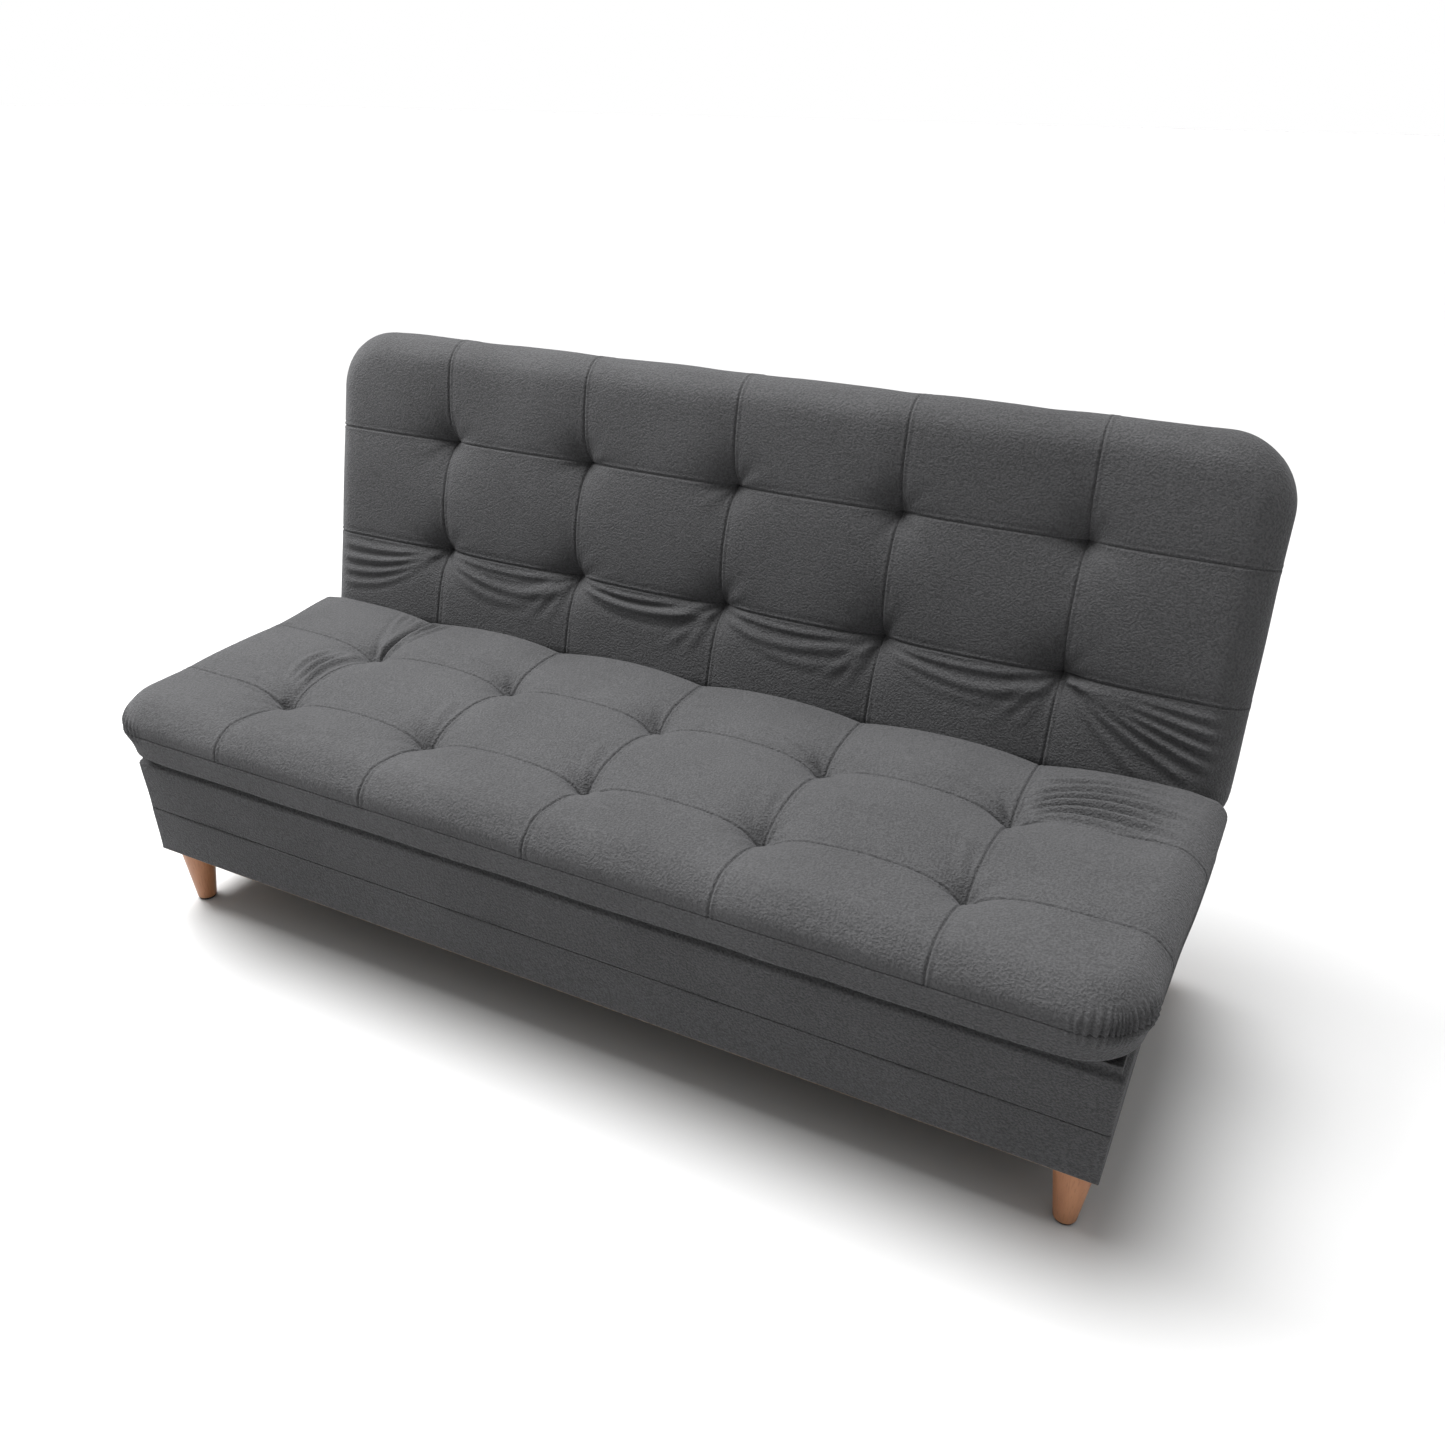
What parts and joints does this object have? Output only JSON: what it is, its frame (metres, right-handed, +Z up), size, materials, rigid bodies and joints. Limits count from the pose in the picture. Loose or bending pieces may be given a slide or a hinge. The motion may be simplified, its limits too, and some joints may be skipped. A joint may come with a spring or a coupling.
{
  "type": "futon sofa bed",
  "caption": "Armless tufted sofa bed: upholstered back reclines flat, padded seat lifts over a storage base on tapered wooden legs.",
  "frame": {"origin": "on the floor under the middle of the whole, centred in width and depth", "axes": "+X along the width to the sitter's left, -Y out of the front, +Z up"},
  "size_m": [1.8, 0.8079, 0.9772],
  "materials": {
    "upholstery": "dark grey suede-like microfibre over foam, matt with a soft nap",
    "lining": "black woven lining cloth, matt",
    "webbing": "woven elastic webbing",
    "leg_wood": "clear satin lacquer on turned beech",
    "floor_board": "dark hardboard",
    "frame_wood": "unfinished pine and board",
    "glide_plastic": "moulded black plastic",
    "rubber": "black rubber",
    "painted_steel": "black powder coat",
    "zinc_steel": "bright zinc plate",
    "bush_bronze": "sintered bronze",
    "anchor_plastic": "moulded plastic"
  },
  "bodies": {
    "base": {"base_divider": "frame_wood", "base_floor_panel": "floor_board", "base_front_panel": "frame_wood", "base_left_panel": "frame_wood", "base_lower_cover": "upholstery", "base_rear_panel": "frame_wood", "base_rear_shelf": "frame_wood", "base_right_panel": "frame_wood", "base_shelf_cleat": "frame_wood", "base_upper_cover": "upholstery", "corner_blocks": "frame_wood", "hinge_bracket_bolts": "zinc_steel", "hinge_bracket_left": "painted_steel", "hinge_bracket_right": "painted_steel", "leg_bolts": "zinc_steel", "leg_glides": "glide_plastic", "leg_left_front": "leg_wood", "leg_left_rear": "leg_wood", "leg_plate_screws": "zinc_steel", "leg_plates": "painted_steel", "leg_right_front": "leg_wood", "leg_right_rear": "leg_wood", "pawl_pins": "zinc_steel", "pivot_bolts": "zinc_steel", "pivot_nuts": "zinc_steel", "pivot_washers": "zinc_steel", "rear_bumpers": "rubber", "seat_bumpers": "rubber"},
    "seat": {"seat_arm_bushes": "bush_bronze", "seat_arm_left": "painted_steel", "seat_arm_right": "painted_steel", "seat_arm_screws": "zinc_steel", "seat_centre_rail": "frame_wood", "seat_cushion": "upholstery", "seat_dust_cover": "lining", "seat_front_rail": "frame_wood", "seat_left_rail": "frame_wood", "seat_rear_rail": "frame_wood", "seat_right_rail": "frame_wood", "seat_spring_clips": "zinc_steel", "seat_springs": "zinc_steel", "seat_tuft_anchors": "anchor_plastic"},
    "back": {"back_arm_bushes": "bush_bronze", "back_arm_left": "painted_steel", "back_arm_right": "painted_steel", "back_arm_screws": "zinc_steel", "back_bottom_rail": "frame_wood", "back_centre_post": "frame_wood", "back_cushion": "upholstery", "back_left_post": "frame_wood", "back_rear_cover": "lining", "back_right_post": "frame_wood", "back_top_rail": "frame_wood", "back_tuft_anchors": "anchor_plastic", "back_webbing": "webbing"},
    "pawl_left": {"pawl_left": "zinc_steel", "pawl_spring_left": "zinc_steel"},
    "pawl_right": {"pawl_right": "zinc_steel", "pawl_spring_right": "zinc_steel"}
  },
  "joints": [
    {"name": "seat_lift", "type": "hinge", "parent": "base", "child": "seat", "pos_m": [0, 0.21624, 0.402], "axis": [-1, 0, 0], "range_deg": [0, 33]},
    {"name": "back_recline", "type": "hinge", "parent": "base", "child": "back", "pos_m": [0, 0.21624, 0.402], "axis": [-1, 0, 0], "range_deg": [0, 78]},
    {"name": "pawl_left_lift", "type": "hinge", "parent": "base", "child": "pawl_left", "pos_m": [0, 0.22424, 0.35], "axis": [1, 0, 0], "range_deg": [0, 10], "stiffness_Nm_per_rad": 0.3, "springref_deg": -17.19},
    {"name": "pawl_right_lift", "type": "hinge", "parent": "base", "child": "pawl_right", "pos_m": [0, 0.22424, 0.35], "axis": [1, 0, 0], "range_deg": [0, 10], "stiffness_Nm_per_rad": 0.3, "springref_deg": -17.19}
  ],
  "couplings": [
    {"joint": "pawl_right_lift", "follows": "pawl_left_lift", "ratio": 1}
  ]
}
